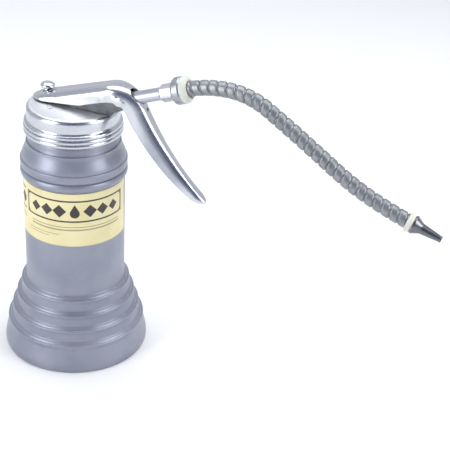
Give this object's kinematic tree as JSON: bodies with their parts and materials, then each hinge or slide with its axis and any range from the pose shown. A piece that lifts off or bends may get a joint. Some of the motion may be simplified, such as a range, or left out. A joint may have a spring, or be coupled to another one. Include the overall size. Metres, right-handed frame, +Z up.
{
  "type": "pump oiler can",
  "caption": "Pump oiler: stepped steel can with screw cap, squeeze lever, spring-return plunger and a flexible metal spout with a fine nozzle.",
  "frame": {"origin": "centre of the base, on the surface that the can stands on", "axes": "+Z up along the can, +X the way the spout points, +Y to the left of it"},
  "size_m": [0.2242, 0.075, 0.1626],
  "materials": {
    "can_paint": "satin blue-grey metallic enamel",
    "label": "pale yellow printed paper, black print",
    "cork": "oiled cork composition",
    "nylon": "off-white nylon",
    "zinc": "bright zinc plate",
    "casting": "plain zinc die casting",
    "packing": "oiled leather and graphite packing",
    "brass": "turned brass",
    "tube": "translucent polythene",
    "spring_steel": "drawn spring wire",
    "rod_steel": "polished steel",
    "hose_steel": "dull galvanised strip",
    "dark_steel": "blackened steel, worn bright at the end"
  },
  "bodies": {
    "can": {"body_shell": "can_paint", "shoulder": "can_paint", "bottom_plate": "can_paint", "label": "label"},
    "slip_ring": {"cap_gasket": "cork", "slip_ring": "nylon"},
    "cap": {"screw_cap": "zinc", "vent_stud": "zinc", "pump_head": "casting", "pump_body": "casting", "rod_packing": "packing", "pump_barrel": "brass", "foot_valve": "brass", "suction_tube": "tube", "strainer": "brass", "return_spring": "spring_steel", "outlet_spring": "spring_steel", "spout_tube": "zinc", "spout_collar": "zinc", "rear_ring": "nylon", "hose_1": "hose_steel", "liner_1": "tube"},
    "lever": {"lever": "zinc", "fulcrum_studs": "zinc"},
    "plunger": {"plunger_rod": "rod_steel", "rod_button": "rod_steel", "piston": "brass", "piston_cup": "packing", "piston_nut": "rod_steel"},
    "foot_ball": {"foot_ball": "rod_steel"},
    "outlet_ball": {"outlet_ball": "rod_steel"},
    "hose_b2": {"hose_2": "hose_steel", "liner_2": "tube"},
    "hose_b3": {"hose_3": "hose_steel", "liner_3": "tube"},
    "hose_b4": {"hose_4": "hose_steel", "liner_4": "tube"},
    "hose_b5": {"hose_5": "hose_steel", "liner_5": "tube"},
    "hose_b6": {"hose_6": "hose_steel", "liner_6": "tube", "front_ring": "nylon", "nozzle": "dark_steel"}
  },
  "joints": [
    {"name": "cap_rise", "type": "slide", "parent": "can", "child": "slip_ring", "axis": [0, 0, 1], "range_m": [0, 0.008]},
    {"name": "cap_turn", "type": "hinge", "parent": "slip_ring", "child": "cap", "pos_m": [0, 0, 0.13], "axis": [0, 0, 1], "range_deg": [0, 900]},
    {"name": "lever_squeeze", "type": "hinge", "parent": "cap", "child": "lever", "pos_m": [0.0283, 0, 0.144], "axis": [0, 1, 0], "range_deg": [0, 14]},
    {"name": "plunger_lift", "type": "slide", "parent": "cap", "child": "plunger", "axis": [0, 0, 1], "range_m": [0, 0.01005], "stiffness_N_per_m": 500, "springref_m": -0.01, "deforming": ["return_spring"]},
    {"name": "foot_valve_lift", "type": "slide", "parent": "cap", "child": "foot_ball", "axis": [0, 0, 1], "range_m": [0, 0.0007]},
    {"name": "outlet_valve_lift", "type": "slide", "parent": "cap", "child": "outlet_ball", "axis": [0, 0, 1], "range_m": [0, 0.0008], "stiffness_N_per_m": 30, "springref_m": -0.001, "deforming": ["outlet_spring"]},
    {"name": "hose_bend_1", "type": "hinge", "parent": "cap", "child": "hose_b2", "pos_m": [0.08145, 0, 0.15898], "axis": [0, 1, 0], "range_deg": [-25, 25]},
    {"name": "hose_swing_2", "type": "hinge", "parent": "hose_b2", "child": "hose_b3", "pos_m": [0.10036, 0, 0.1537], "axis": [0.512, 0, 0.859], "range_deg": [-25, 25]},
    {"name": "hose_bend_3", "type": "hinge", "parent": "hose_b3", "child": "hose_b4", "pos_m": [0.11729, 0, 0.14329], "axis": [0, 1, 0], "range_deg": [-25, 25]},
    {"name": "hose_swing_4", "type": "hinge", "parent": "hose_b4", "child": "hose_b5", "pos_m": [0.13397, 0, 0.1325], "axis": [0.5505, 0, 0.8348], "range_deg": [-25, 25]},
    {"name": "hose_bend_5", "type": "hinge", "parent": "hose_b5", "child": "hose_b6", "pos_m": [0.15137, 0, 0.12295], "axis": [0, 1, 0], "range_deg": [-25, 25]}
  ],
  "couplings": [
    {"joint": "cap_rise", "follows": "cap_turn", "m_per_rad": 0.000509},
    {"joint": "plunger_lift", "follows": "lever_squeeze", "m_per_rad": 0.041148}
  ]
}
